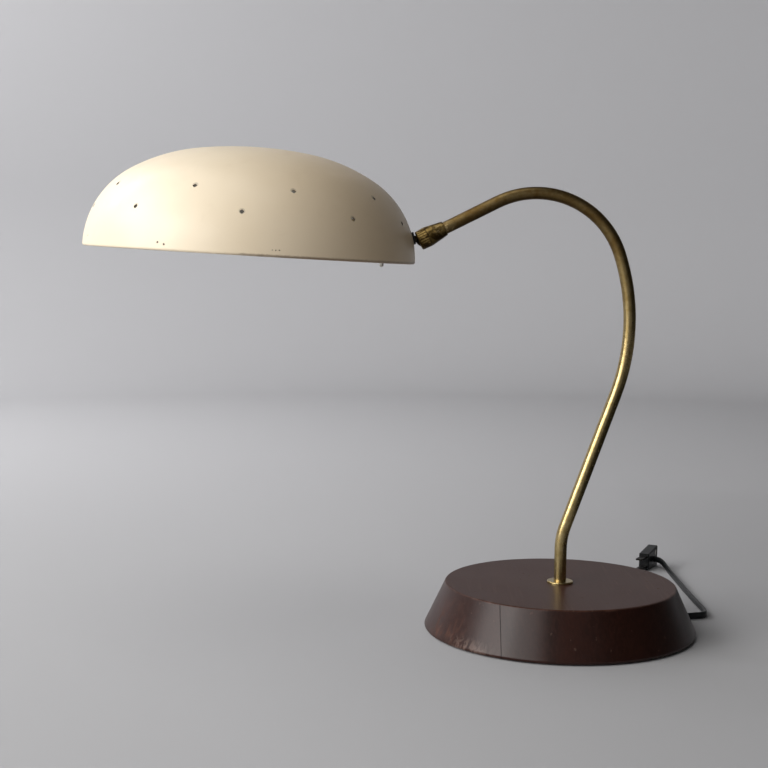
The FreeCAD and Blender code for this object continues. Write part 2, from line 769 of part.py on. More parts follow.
wall_slope = math.degrees(math.asin(number("stud_height/shade_shoulder_radius")))
outer_form = shade_form("shade_outer_form", "0")
inner_form = shade_form("shade_inner_form", "shade_wall")
washer_blank = tool("Part::Cylinder", "outer_washer_blank", Radius="outer_washer_radius",
                    Height="2*outer_washer_thickness")
washer_blank.Placement = moved(
    FreeCAD.Placement(Vector(number(wall_at_stud), 0, number("stud_height")),
                      FreeCAD.Rotation(Y_AXIS, 90 - wall_slope)),
    z=-number("outer_washer_thickness"))
washer_hole = tool("Part::Cylinder", "outer_washer_hole", Radius="stud_radius + running_gap",
                   Height="shade_rim_radius")
washer_hole.Placement = stud_hole.Placement
washer_cuts = doc.addObject("Part::MultiFuse", "outer_washer_cuts")
washer_cuts.Shapes = [outer_form, washer_hole]
outer_washer = piece("Part::Cut", "shade_outer_washer", head_frame)
outer_washer.Base = washer_blank
outer_washer.Tool = washer_cuts

# The inner washer's flat face is square to the stud, clear of the wall at the top
wall_inside = "sqrt((shade_shoulder_radius - shade_wall)^2 - (stud_height + inner_washer_radius)^2)"
inner_face_x = f"({shoulder_x} + {wall_inside} - inner_washer_edge)"
nut_start = f"({wall_at_stud} + stud_reach - {inner_face_x})"
inner_blank = doc.addObject("PartDesign::Body", "inner_washer_blank")
revolve(inner_blank, (
    ("stud_radius + running_gap", "0"),
    ("inner_washer_radius", "0"),
    ("inner_washer_radius", "inner_washer_radius + inner_washer_edge"),
    ("stud_radius + running_gap", "inner_washer_radius + inner_washer_edge"),
))
inner_blank.Placement = FreeCAD.Placement(
    Vector(number(inner_face_x), 0, number("stud_height")), FreeCAD.Rotation(Y_AXIS, 90))
inner_washer = piece("Part::Common", "shade_inner_washer", head_frame)
inner_washer.Base = inner_blank
inner_washer.Tool = inner_form

# Nut on the stud
shade_nut = piece("PartDesign::Body", "shade_nut", moved(stud_frame, z=number(nut_start)))
shade_nut_sketch = sketch_on(shade_nut, "XY_Plane", "shade_nut_outline")
draw(shade_nut_sketch, hexagon("shade_nut_flats"))
draw_circle(shade_nut_sketch, "0", "0", "stud_radius + running_gap")
pad(shade_nut, shade_nut_sketch, "shade_nut_thickness")

# Lampholder cap: hub on the stud, dome and skirt
cap_start = f"({nut_start} + shade_nut_thickness)"
dome_start = f"({cap_start} + cap_hub_length - cap_wall)"
dome_end = f"({cap_start} + cap_dome_length)"
skirt_end = f"({dome_end} + cap_skirt_length)"
cap_inner = "(shell_radius - cap_wall)"
turned("lampholder_cap", stud_frame, (
    ("stud_radius + running_gap", cap_start),
    ("cap_hub_radius", cap_start),
    ("cap_hub_radius", f"{dome_start} - cap_wall"),
    ("shell_radius", dome_end),
    ("shell_radius", skirt_end),
    (cap_inner, skirt_end),
    (cap_inner, f"{dome_end} + cap_wall/2"),
    ("cap_hub_radius", dome_start),
    ("cap_hub_radius", f"{cap_start} + cap_hub_length"),
    ("stud_radius + running_gap", f"{cap_start} + cap_hub_length"),
))

# Outer shell, pushed into the cap, with a beaded mouth and a hole for the key
shell_outer = f"({cap_inner} - running_gap)"
shell_start = f"({dome_end} + cap_wall)"
shell_end = f"({cap_start} + cap_dome_length + shell_length)"
lampholder_shell = turned("lampholder_shell", stud_frame, (
    (f"{shell_outer} - shell_wall", shell_start),
    (shell_outer, shell_start),
    (shell_outer, f"{shell_end} - 2*shell_bead"),
    (f"{shell_outer} + shell_bead", f"{shell_end} - shell_bead"),
    (shell_outer, shell_end),
    (f"{shell_outer} - shell_wall", shell_end),
))
key_hole = sketch_on(lampholder_shell, "YZ_Plane", "shell_key_hole")
draw_circle(key_hole, "0", "key_place", "key_shaft_radius + free_gap")
pocket(lampholder_shell, key_hole, "shell_radius + cut_overrun", flip=False)

# Insulating liner with the same hole
liner_outer = f"({shell_outer} - shell_wall - running_gap)"
liner_start = f"({shell_start} + cap_wall)"
lampholder_liner = turned("lampholder_liner", stud_frame, (
    (f"{liner_outer} - liner_wall", liner_start),
    (liner_outer, liner_start),
    (liner_outer, f"{shell_end} - shell_bead"),
    (f"{liner_outer} - liner_wall", f"{shell_end} - shell_bead"),
))
liner_hole = sketch_on(lampholder_liner, "YZ_Plane", "liner_key_hole")
draw_circle(liner_hole, "0", "key_place", "key_shaft_radius + free_gap")
pocket(lampholder_liner, liner_hole, "shell_radius + cut_overrun", flip=False)

# Insulating block: carries the key, the terminals and the bulb's contacts
block_start = "(key_place - block_behind)"
block_end = f"({block_start} + block_length)"
lampholder_block = turned("lampholder_block", stud_frame, (
    ("0", block_start),
    ("block_radius", block_start),
    ("block_radius", block_end),
    ("0", block_end),
))
bearing = sketch_on(lampholder_block, "YZ_Plane", "key_bearing")
draw_circle(bearing, "0", "key_place", "key_shaft_radius + running_gap")
pocket(lampholder_block, bearing, "block_radius + cut_overrun", flip=False)

# Screw shell and spring contact for the bulb
screw_shell_start = f"({block_end} + free_gap/3)"
turned("lampholder_screw_shell", stud_frame, (
    ("bulb_contact_radius + 2*free_gap", screw_shell_start),
    ("screw_shell_radius", screw_shell_start),
    ("screw_shell_radius", f"{screw_shell_start} + screw_shell_length"),
    ("screw_shell_radius - screw_shell_wall", f"{screw_shell_start} + screw_shell_length"),
    ("screw_shell_radius - screw_shell_wall", f"{screw_shell_start} + screw_shell_wall"),
    ("bulb_contact_radius + 2*free_gap", f"{screw_shell_start} + screw_shell_wall"),
))
contact = piece("PartDesign::Body", "lampholder_contact", moved(stud_frame, z=number(block_end)))
contact_sketch = sketch_on(contact, "XZ_Plane", "contact_strip")
contact_half = "(contact_width/2)"
draw(contact_sketch, (
    (f"-{contact_half}", "0"),
    (contact_half, "0"),
    (contact_half, "contact_thickness"),
    (f"contact_thickness - {contact_half}", "contact_thickness"),
    (contact_half, "contact_spring - contact_thickness"),
    (contact_half, "contact_spring"),
    (f"-{contact_half}", "contact_thickness*2"),
))
pad(contact, contact_sketch, "contact_width/2", midplane=True)

# Two terminal screws in the back of the block
terminal_screws = piece("Part::MultiFuse", "terminal_screws", stud_frame)
terminals = []
for side in (-1, 1):
    screw = tool("Part::Cylinder", "terminal_screw", Radius="terminal_radius", Height="terminal_length")
    screw.Placement = FreeCAD.Placement(
        Vector(0, side * number("terminal_spread"), number(f"{block_start} - terminal_length")),
        FreeCAD.Rotation())
    terminals.append(screw)
terminal_screws.Shapes = terminals

# Leads through the stud to the block
turned("head_lead", stud_frame, (
    ("0", "-ball_radius + contact_width/2"),
    ("head_lead_radius", "-ball_radius + contact_width/2"),
    ("head_lead_radius", f"{block_start} - running_gap"),
    ("0", f"{block_start} - running_gap"),
))

# Candle bulb: contact, screw cap and glass
bulb_start = f"({block_end} + contact_spring + running_gap)"
bulb_cap_start = f"({bulb_start} + bulb_contact_length)"
bulb_cap_end = f"({bulb_cap_start} + bulb_cap_length)"
turned("bulb_contact", stud_frame, (
    ("0", bulb_start),
    ("bulb_contact_radius", f"{bulb_start} + bulb_contact_length/2"),
    ("bulb_contact_radius", bulb_cap_start),
    ("0", bulb_cap_start),
))
turned("bulb_cap", stud_frame, (
    ("0", bulb_cap_start),
    ("bulb_contact_radius", bulb_cap_start),
    ("bulb_cap_radius", f"{bulb_cap_start} + bulb_contact_length"),
    ("bulb_cap_radius", bulb_cap_end),
    ("0", bulb_cap_end),
))
bulb_swell = "((bulb_radius - bulb_neck_radius)/2)"
bulb_half_run = "(bulb_length*bulb_belly_share/2)"
bulb_neck_arc = f"(({bulb_swell}^2 + {bulb_half_run}^2)/(2*{bulb_swell}))"
bulb_end = f"({bulb_cap_end} + bulb_length)"
bulb_taper_end = f"({bulb_end} - bulb_tip_radius*bulb_tip_share)"
bulb_taper_run = "(bulb_length*(1 - bulb_belly_share) - bulb_tip_radius*bulb_tip_share)"
bulb_taper = "(bulb_radius - bulb_tip_radius)"
turned("bulb_glass", stud_frame, (
    ("0", bulb_cap_end),
    ("bulb_neck_radius", bulb_cap_end, f"-{bulb_neck_arc}"),
    (f"bulb_neck_radius + {bulb_swell}", f"{bulb_cap_end} + {bulb_half_run}", bulb_neck_arc),
    ("bulb_radius", f"{bulb_cap_end} + 2*{bulb_half_run}",
     f"({bulb_taper}^2 + {bulb_taper_run}^2)/(2*{bulb_taper})"),
    ("bulb_tip_radius", bulb_taper_end,
     "bulb_tip_radius*(1 + bulb_tip_share^2)/(2*bulb_tip_share)"),
    ("0", bulb_end),
))

# Turn key: a shaft through the shell, and a rounded paddle that shows under the rim
key_frame = moved(stud_frame, z=number("key_place"), axis=Y_AXIS, degrees=-90)
switch_key = piece("PartDesign::Body", "switch_key", key_frame)
revolve(switch_key, (
    ("0", "key_root"),
    ("key_shaft_radius", "key_root"),
    ("key_shaft_radius", "key_shaft_end + key_rounding"),
    ("0", "key_shaft_end + key_rounding"),
))
paddle = sketch_on(switch_key, "YZ_Plane", "key_paddle")
key_half = "(key_width/2)"
draw(paddle, (
    ("-key_shaft_radius", "key_shaft_end"),
    ("key_shaft_radius", "key_shaft_end"),
    (key_half, f"key_shaft_end + {key_half} - key_shaft_radius"),
    (key_half, f"key_reach - key_thickness", "key_thickness"),
    (f"{key_half} - key_thickness", "key_reach"),
    (f"key_thickness - {key_half}", "key_reach", "key_thickness"),
    (f"-{key_half}", f"key_reach - key_thickness"),
    (f"-{key_half}", f"key_shaft_end + {key_half} - key_shaft_radius"),
))
pad(switch_key, paddle, "key_thickness", midplane=True)
doc.recompute()
paddle_pad = switch_key.Tip
paddle_edges = [
    f"Edge{index}" for index, edge in enumerate(paddle_pad.Shape.Edges, start=1)
    if edge.BoundBox.ZMin > number("key_shaft_end + key_rounding + running_gap")
    and abs(abs(edge.CenterOfMass.x) - number("key_thickness/2")) < number("running_gap")]
key_fillet = switch_key.newObject("PartDesign::Fillet", "key_rounding_edges")
key_fillet.Base = (paddle_pad, paddle_edges)
key_fillet.setExpression("Radius", bound("key_rounding"))


# Flex inside the base: flat in the groove, then its cores drawn together up the stem
def flat_section(frame):
    """The flex's section as a wire: two cores side by side, upright in a placement's XZ plane."""
    half, core = number("(flex_height - flex_thickness)/2"), number("flex_thickness/2")
    lower, upper = Vector(0, 0, -half), Vector(0, 0, half)
    side = Vector(core, 0, 0)
    reach = Vector(0, 0, core)
    edges = [
        Part.LineSegment(lower + side, upper + side).toShape(),
        Part.Arc(upper + side, upper + reach, upper - side).toShape(),
        Part.LineSegment(upper - side, lower - side).toShape(),
        Part.Arc(lower - side, lower - reach, lower + side).toShape(),
    ]
    wire = Part.Wire(edges)
    wire.Placement = frame
    return wire


def along(direction, position):
    """A placement whose Y axis follows a direction and whose Z axis stays up."""
    side = direction.cross(Z_AXIS).normalize()
    rotation = FreeCAD.Rotation(side, direction, side.cross(direction), "YXZ")
    return FreeCAD.Placement(position, rotation)


def swept(path, section, upright_section):
    """A solid of a section along a path."""
    shell = Part.BRepOffsetAPI.MakePipeShell(path)
    if upright_section:
        shell.setBiNormalMode(Z_AXIS)
    shell.add(section)
    shell.build()
    shell.makeSolid()
    return shell.shape()


flex_outer = flex_frame.multVec(
    Vector(number("flex_start"), 0, number("flex_height/2")))
flex_inner = flex_frame.multVec(Vector(number("flex_inner_end"), 0, number("lead_height")))
base_flex = piece("Part::Feature", "base_flex")
flex_path = Part.Wire([Part.LineSegment(flex_outer, flex_inner).toShape()])
base_flex.Shape = swept(flex_path, flat_section(along(flex_inner - flex_outer, flex_outer)), True)

lead_start = flex_frame.multVec(
    Vector(number("flex_inner_end - free_gap"), 0, number("lead_height")))
lead_turn = flex_frame.multVec(Vector(number("lead_bend"), 0, number("lead_height")))
lead_mid = flex_frame.multVec(Vector(number("lead_bend*(1 - sin(45))"), 0,
                                     number("lead_height + lead_bend*(1 - cos(45))")))
lead_up = Vector(0, 0, number("lead_height + lead_bend"))
stem_lead = piece("Part::Feature", "stem_lead")
doc.recompute()
stem_edges = [edge.copy() for edge in stem_path.Shape.Edges]
for edge in stem_edges:
    edge.Placement = stem_frame.multiply(edge.Placement)
lead_path = Part.Wire([
    Part.LineSegment(lead_start, lead_turn).toShape(),
    Part.Arc(lead_turn, lead_mid, lead_up).toShape(),
    Part.LineSegment(lead_up, stem_frame.Base).toShape(),
] + stem_edges)
lead_section = Part.Wire([Part.Circle(lead_start, lead_turn - lead_start,
                                      number("lead_radius")).toShape()])
stem_lead.Shape = swept(lead_path, lead_section, False)

# Crimped stop behind the base's wall, so that a pull on the flex does not reach the lead
cord_stop = piece("Part::Feature", "cord_stop")
stop_middle = "(stop_start + stop_length/2)"
stop_height = f"(flex_height/2 + (flex_start - {stop_middle})*{flex_rise})"
stop_frame = along(flex_inner - flex_outer, flex_frame.multVec(
    Vector(number("stop_start + stop_length"), 0,
           number(f"flex_height/2 + (flex_start - stop_start - stop_length)*{flex_rise}"))))
stop_half_width = number("flex_thickness/2 + stop_wall")
stop_drop = number("flex_height/2 + free_gap")
stop_block = Part.makeBox(2 * stop_half_width, number("stop_length"),
                          stop_drop + number("flex_height/2 + stop_wall"),
                          Vector(-stop_half_width, 0, -stop_drop))
stop_block.Placement = stop_frame
cord_stop.Shape = stop_block.cut(base_flex.Shape)


# Free flex: straight runs joined by tangent arcs, as large as the runs allow
def cord_path(route):
    """The wire through a route's points, its corners rounded."""
    points = [Vector(*point) for point in route]
    runs = [second - first for first, second in zip(points, points[1:])]
    edges = []
    start = points[0]
    for corner, before, after in zip(points[1:-1], runs, runs[1:]):
        turn = before.getAngle(after)
        reach = 0.45 * min(before.Length, after.Length)
        radius = reach / math.tan(turn / 2)
        into, away = Vector(before).normalize(), Vector(after).normalize()
        arc_start, arc_end = corner - into * reach, corner + away * reach
        inward = (away - into).normalize()
        arc_middle = corner + inward * (radius / math.cos(turn / 2) - radius)
        edges.append(Part.LineSegment(start, arc_start).toShape())
        edges.append(Part.Arc(arc_start, arc_middle, arc_end).toShape())
        print(f"cord: turn {math.degrees(turn):5.1f} degrees, radius {radius:7.1f}")
        start = arc_end
    edges.append(Part.LineSegment(start, points[-1]).toShape())
    return Part.Wire(edges)


cord = piece("Part::Feature", "cord")
cord_wire = cord_path(CORD_ROUTE)
cord_start = Vector(*CORD_ROUTE[0])
cord.Shape = swept(cord_wire, flat_section(along(Vector(*CORD_ROUTE[1]) - cord_start, cord_start)), True)
section_area = number("flex_thickness*(flex_height - flex_thickness) + pi*(flex_thickness/2)^2")
print(f"cord: length {cord_wire.Length:.1f}, volume {cord.Shape.Volume:.0f}, "
      f"section times length {section_area * cord_wire.Length:.0f}")

# Plug: two halves that close on the blades and the flex, held by one screw
plug_frame = FreeCAD.Placement(
    Vector(number("plug_across"), number("plug_along"), 0),
    FreeCAD.Rotation(Z_AXIS, number("plug_turn")))
entry_along = "(plug_length*plug_entry_share)"
screw_along = "(plug_length - 2*plug_screw_head)"
screw_up = "(plug_back_height - 2*plug_screw_head)"
half_thickness = "(plug_thickness/2)"
blade_low = "(plug_front_height/2 - blade_spacing/2)"
blade_high = "(plug_front_height/2 + blade_spacing/2)"
blade_slot = "(blade_thickness/2 + running_gap)"
head_seat = f"({half_thickness} - plug_screw_head_depth)"


def plug_half(label, side):
    """One half of the plug, with its share of the blade slots and of the screw hole."""
    body = piece("PartDesign::Body", label, plug_frame)
    profile = sketch_on(body, "YZ_Plane", label + "_side")
    draw(profile, (
        ("0", "0"),
        ("plug_length", "0"),
        ("plug_length", "plug_back_height"),
        ("0", "plug_front_height"),
    ))
    half = pad(body, profile, half_thickness)
    half.Reversed = side < 0
    doc.recompute()
    outer = side * number(half_thickness)
    names = [f"Edge{index}" for index, edge in enumerate(half.Shape.Edges, start=1)
             if math.isclose(edge.BoundBox.XMin, outer, abs_tol=1e-4)
             and math.isclose(edge.BoundBox.XMax, outer, abs_tol=1e-4)]
    rounding = body.newObject("PartDesign::Fillet", label + "_rounding")
    rounding.Base = (half, names)
    rounding.setExpression("Radius", bound("plug_rounding"))
    slots = sketch_on(body, "YZ_Plane", label + "_blade_slots")
    for middle in (blade_low, blade_high):
        draw(slots, box_corners("-cut_overrun", "blade_inside + running_gap",
                                f"{middle} - {blade_slot}", f"{middle} + {blade_slot}"))
    pocket(body, slots, "blade_width + 2*running_gap", midplane=True)
    hole = sketch_on(body, "YZ_Plane", label + "_screw_hole")
    draw_circle(hole, screw_along, screw_up, "plug_screw_radius + running_gap")
    pocket(body, hole, "plug_thickness + cut_overrun", midplane=True)
    return body


plug_half("plug_body", -1)
plug_cover = plug_half("plug_cover", 1)
entry = sketch_on(plug_cover, "YZ_Plane", "plug_entry")
draw(entry, box_corners(
    f"{entry_along} - flex_thickness/2 - free_gap", f"{entry_along} + flex_thickness/2 + free_gap",
    "plug_entry_height - flex_height/2 - free_gap", "plug_entry_height + flex_height/2 + free_gap"))
pocket(plug_cover, entry, "plug_thickness", flip=True)
head_recess = sketch_on(plug_cover, "YZ_Plane", "plug_screw_recess")
draw_circle(head_recess, screw_along, screw_up, "plug_screw_head + running_gap")
head_recess.setExpression("AttachmentOffset.Base.z", bound(head_seat))
pocket(plug_cover, head_recess, "plug_thickness", flip=True)
turned("plug_screw", moved(moved(plug_frame, y=number(screw_along), z=number(screw_up)),
                           axis=Y_AXIS, degrees=90), (
    ("0", f"plug_screw_head_depth - {half_thickness}"),
    ("plug_screw_radius", f"plug_screw_head_depth - {half_thickness}"),
    ("plug_screw_radius", head_seat),
    ("plug_screw_head", head_seat),
    ("plug_screw_head", f"{half_thickness} - free_gap"),
    ("0", f"{half_thickness} - free_gap"),
))
plug_blades = piece("Part::MultiFuse", "plug_blades", plug_frame)
blades = []
for middle in (blade_low, blade_high):
    blade = tool("Part::Box", "plug_blade", Length="blade_width",
                 Width="blade_reach + blade_inside", Height="blade_thickness")
    blade.Placement = FreeCAD.Placement(
        Vector(number("-blade_width/2"), number("-blade_reach"),
               number(f"{middle} - blade_thickness/2")), FreeCAD.Rotation())
    blades.append(blade)
plug_blades.Shapes = blades

doc.recompute()
for item in doc.Objects:
    if "Invalid" in item.State or "Error" in item.State:
        raise ValueError(f"{item.Label} has failed: {item.State}")
os.makedirs("parts", exist_ok=True)
for item in sub_parts:
    if item.Shape.isNull() or not item.Shape.isValid() or item.Shape.Volume <= 0:
        raise ValueError(f"{item.Label} has no valid shape")
    item.Shape.exportStep(f"parts/{item.Label}.step")
    print(f"{item.Label}: {len(item.Shape.Solids)} solid, {item.Shape.Volume:.0f} cubic mm")
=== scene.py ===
import math

import bmesh
import bpy
from mathutils import Euler, Matrix, Vector


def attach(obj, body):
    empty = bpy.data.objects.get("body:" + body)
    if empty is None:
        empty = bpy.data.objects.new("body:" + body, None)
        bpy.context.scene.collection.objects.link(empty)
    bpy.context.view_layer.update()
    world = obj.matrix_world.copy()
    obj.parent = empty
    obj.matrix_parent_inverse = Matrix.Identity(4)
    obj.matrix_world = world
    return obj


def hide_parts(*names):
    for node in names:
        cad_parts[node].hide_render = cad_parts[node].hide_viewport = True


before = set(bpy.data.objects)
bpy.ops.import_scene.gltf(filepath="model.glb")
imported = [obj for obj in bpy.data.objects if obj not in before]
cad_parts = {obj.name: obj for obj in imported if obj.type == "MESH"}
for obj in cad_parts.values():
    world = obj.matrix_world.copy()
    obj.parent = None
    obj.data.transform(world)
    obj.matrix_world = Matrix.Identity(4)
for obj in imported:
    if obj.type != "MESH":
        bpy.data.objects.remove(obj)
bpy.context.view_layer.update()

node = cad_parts


# Camera: about 1.2 m in front of the lamp and level with its shade, looking slightly
# down, as the photograph was taken. Nothing in the view is shifted or out of focus.
photo_camera = bpy.data.objects.new("photo_camera", bpy.data.cameras.new("photo_camera"))
bpy.context.scene.collection.objects.link(photo_camera)
bpy.context.scene.camera = photo_camera
photo_camera.data.sensor_width = 36.0
photo_camera.data.lens = 67.737
photo_camera.location = (-0.1582, -1.1583, 0.3040)
camera_dip, camera_turn, camera_roll = 5.173, -0.627, 0.73
looking = Euler((math.radians(90 - camera_dip), 0, math.radians(camera_turn))).to_matrix()
photo_camera.rotation_euler = (looking @ Matrix.Rotation(math.radians(camera_roll), 3, "Z")).to_euler()
photo_camera.data.clip_start = 0.05
photo_camera.data.clip_end = 20
bpy.context.scene.view_settings.view_transform = "Standard"


# Floor and backdrop: a plain pale floor that curves up into a round wall, as in a
# studio, and lies a hair below the lamp's foot. It isn't part of the lamp.
def studio_piece(name, corners, faces, tint, roughness):
    """A piece of the studio in one matt colour."""
    mesh = bpy.data.meshes.new(name)
    mesh.from_pydata(corners, [], faces)
    for face in mesh.polygons:
        face.use_smooth = True
    paint = bpy.data.materials.new(name + "_paint")
    paint.use_nodes = True
    paint.node_tree.nodes["Principled BSDF"].inputs["Base Color"].default_value = (*tint, 1)
    paint.node_tree.nodes["Principled BSDF"].inputs["Roughness"].default_value = roughness
    mesh.materials.append(paint)
    made = bpy.data.objects.new(name, mesh)
    bpy.context.scene.collection.objects.link(made)
    return made


wall_radius, wall_bend, wall_top, floor_drop = 2.4, 0.45, 2.8, 0.0002
wall_steps, bend_steps = 96, 12
bend_turns = [math.radians(90) * step / bend_steps for step in range(bend_steps + 1)]
wall_turns = [math.radians(360) * step / wall_steps for step in range(wall_steps)]
section = [(wall_radius - wall_bend + wall_bend * math.sin(turn),
            wall_bend - wall_bend * math.cos(turn) - floor_drop) for turn in bend_turns]
section.append((wall_radius, wall_top))
sheet_corners = [(far * math.cos(turn), far * math.sin(turn), up)
                 for far, up in section for turn in wall_turns]
sheet_faces = [list(range(wall_steps))]
for row in range(len(section) - 1):
    low, high = row * wall_steps, (row + 1) * wall_steps
    for step in range(wall_steps):
        beside = (step + 1) % wall_steps
        sheet_faces.append((low + step, high + step, high + beside, low + beside))
studio_piece("studio_sheet", sheet_corners, sheet_faces, (0.43, 0.43, 0.44), 0.9)


# Studio light: a large soft window at the left, a weaker one further to the front and a
# small one behind it, a soft light above, one on the wall, and a dim warm surround. Two
# black flags at the right, which the camera doesn't see, keep the far side dark.
def soft_light(name, place, target, width, height, power, tint):
    """A rectangle of soft light that faces a point."""
    lamp = bpy.data.lights.new(name, "AREA")
    lamp.shape = "RECTANGLE"
    lamp.size, lamp.size_y = width, height
    lamp.energy = power
    lamp.color = tint
    holder = bpy.data.objects.new(name, lamp)
    holder.location = place
    aim = Vector(target) - Vector(place)
    holder.rotation_euler = aim.to_track_quat("-Z", "Y").to_euler()
    holder.visible_camera = False
    bpy.context.scene.collection.objects.link(holder)


lamp_middle, daylight = (-0.05, 0.10, 0.22), (0.995, 0.985, 0.97)
soft_light("window_light", (-1.90, -0.78, 0.95), lamp_middle, 1.1, 1.3, 26, daylight)
soft_light("front_light", (-1.40, -1.55, 0.95), lamp_middle, 1.3, 1.2, 18, daylight)
soft_light("side_light", (-1.75, 0.05, 1.30), (-0.05, 0.0, 0.02), 0.6, 0.9, 8, (0.96, 0.97, 1.0))
soft_light("upper_light", (-0.9, -0.3, 2.2), (-0.05, 0.15, 0.15), 2.0, 2.0, 12, (1.0, 0.985, 0.96))
soft_light("wall_light", (-1.4, 0.9, 1.4), (-0.5, 2.4, 0.3), 1.0, 1.0, 27, (0.99, 0.985, 1.0))
surround = bpy.data.worlds.new("studio_surround")
surround.use_nodes = True
surround.node_tree.nodes["Background"].inputs["Color"].default_value = (1.0, 0.84, 0.68, 1)
surround.node_tree.nodes["Background"].inputs["Strength"].default_value = 0.02
bpy.context.scene.world = surround

black_cloth = (0.01, 0.01, 0.01)
standing_flag = studio_piece(
    "standing_flag", [(0.80, -1.3, 0.15), (0.95, 0.7, 0.15), (0.95, 0.7, 1.3), (0.80, -1.3, 1.3)],
    [(0, 1, 2, 3)], black_cloth, 0.95)
lying_flag = studio_piece(
    "lying_flag", [(0.17, -1.3, 0.004), (0.80, -1.3, 0.004), (0.95, 0.7, 0.004), (0.17, 0.7, 0.004)],
    [(0, 1, 2, 3)], black_cloth, 0.95)
for flag in (standing_flag, lying_flag):
    flag.visible_camera = False
    flag.visible_shadow = False
lying_flag.visible_diffuse = False


# Wooden base: a turned disc of dark stained wood under a worn glossy varnish. It is
# glued up from boards, and one joint shows as a hairline down its front. The first
# finish is mixed here, with the two small tools that all the finishes share.
class Reading:
    """One output of a finish's shader nodes, which can stand in a sum."""

    def __init__(self, finish, socket):
        self.finish, self.socket = finish, socket

    def __add__(self, other):
        return self.finish.maths("ADD", self, other)

    def __sub__(self, other):
        return self.finish.maths("SUBTRACT", self, other)

    def __rsub__(self, other):
        return self.finish.maths("SUBTRACT", other, self)

    def __mul__(self, other):
        return self.finish.maths("MULTIPLY", self, other)

    __radd__, __rmul__ = __add__, __mul__

    def __abs__(self):
        return self.finish.maths("ABSOLUTE", self)


class Finish:
    """The material of one slot, built up from shader nodes in the piece's own coordinates."""

    def __init__(self, slot, even=None):
        self.material = bpy.data.materials.new(slot)
        self.material.use_nodes = True
        self.tree = self.material.node_tree
        self.surface = self.tree.nodes["Principled BSDF"]
        self.cover(even or {})
        self.place = self.node("TexCoord", output="Object")

    def node(self, kind, settings=None, sockets=None, output=0):
        """A node of a kind: its settings first, then the values or links of its sockets."""
        made = self.tree.nodes.new("ShaderNode" + kind)
        for name, value in (settings or {}).items():
            setattr(made, name, value)
        for name, value in (sockets or {}).items():
            self.feed(made.inputs[name], value)
        return Reading(self, made.outputs[output])

    def feed(self, socket, value):
        """Link a reading to a socket, or set the socket's own value."""
        if isinstance(value, Reading):
            self.tree.links.new(value.socket, socket)
        elif socket.type == "RGBA":
            socket.default_value = (*value, 1)
        else:
            socket.default_value = value

    def cover(self, sockets):
        """What the surface itself gets."""
        for name, value in sockets.items():
            self.feed(self.surface.inputs[name], value)

    def maths(self, operation, *terms):
        """One step of arithmetic."""
        return self.node("Math", {"operation": operation}, dict(enumerate(terms)))

    def axes(self):
        """The three coordinates, in metres."""
        first = self.node("SeparateXYZ", None, {"Vector": self.place})
        return [Reading(self, socket) for socket in first.socket.node.outputs]

    def noise(self, scale, detail=3.0, stretch=(1, 1, 1), turn=0.0, start=0.0, warp=0.0):
        """Cloudy noise of so many clouds a metre, drawn out where stretch is small."""
        where = self.node("Mapping", None, {"Vector": self.place, "Scale": stretch,
                                            "Rotation": (0, 0, turn), "Location": (start, start, 0)})
        return self.node("TexNoise", None, {"Vector": where, "Scale": scale, "Detail": detail,
                                            "Distortion": warp})

    def ease(self, value, low, high):
        """A smooth rise from 0 at low to 1 at high."""
        return self.node("MapRange", {"interpolation_type": "SMOOTHSTEP"},
                         {"Value": value, "From Min": low, "From Max": high})

    def away_from(self, point):
        """The distance from a point, in metres."""
        return self.node("VectorMath", {"operation": "DISTANCE"}, {0: self.place, 1: point}, "Value")

    def way_from(self, point):
        """The way from a point to here, in metres."""
        return self.node("VectorMath", {"operation": "SUBTRACT"}, {0: self.place, 1: point})

    def facing(self):
        """The direction that the surface faces."""
        return self.node("TexCoord", output="Normal")

    def dot(self, one_way, other_way):
        """How far one way reaches along another."""
        return self.node("VectorMath", {"operation": "DOT_PRODUCT"}, {0: one_way, 1: other_way}, "Value")

    def spot(self, middle, full, none):
        """A mask that is 1 within one distance of a point and falls to 0 at another."""
        return 1 - self.ease(self.away_from(middle), full, none)

    def mix(self, mask, under, over):
        """One colour over another, by a mask."""
        return self.node("Mix", {"data_type": "RGBA"}, {0: mask, 6: under, 7: over}, 2)

    def relief(self, height, depth):
        """Bumps of a depth in metres."""
        return self.node("Bump", None, {"Height": height, "Distance": depth, "Strength": 1.0})

    def put_on(self, *names):
        """Give CAD nodes this finish."""
        for name in names:
            for slot in node[name].material_slots:
                slot.material = self.material


stained_wood = Finish("stained_wood", {"Coat Roughness": 0.28, "Coat IOR": 1.45,
                                       "Specular IOR Level": 0.05})
seam_place, top_face = -0.0557, 0.0380
worn_corner = (-0.0985, -0.046, 0.0075)
sheen_and_scuffs_at_foot = (-0.078, -0.072, 0.004)
scratched_top = (0.052, -0.012, 0.0383)
across, along, height = stained_wood.axes()
from_axis = stained_wood.maths("SQRT", across * across + along * along)
on_top = stained_wood.ease(height, top_face - 0.0010, top_face)
grain = stained_wood.noise(520, 4, stretch=(1, 0.035, 0.5), turn=0.06, warp=0.4)
figure = stained_wood.noise(34, 3, stretch=(1, 0.14, 0.7), turn=0.06, start=3.0, warp=0.8)
clouds = stained_wood.noise(16, 2, start=7.0)
pores = stained_wood.ease(stained_wood.noise(1500, 2, stretch=(1, 0.05, 0.6)), 0.60, 0.72)
left_board = 1 - stained_wood.ease(across, seam_place + 0.00005, seam_place + 0.00015)
seam = 1 - stained_wood.ease(abs(across - seam_place), 0.00008, 0.00034)
seam = seam * (1 - 0.97 * stained_wood.ease(height, 0.0368, top_face))
corner_wear = stained_wood.spot(worn_corner, 0.010, 0.036) \
    * stained_wood.ease(stained_wood.noise(170, 4, stretch=(1, 1, 0.3), start=1.7, warp=0.5), 0.44, 0.70)
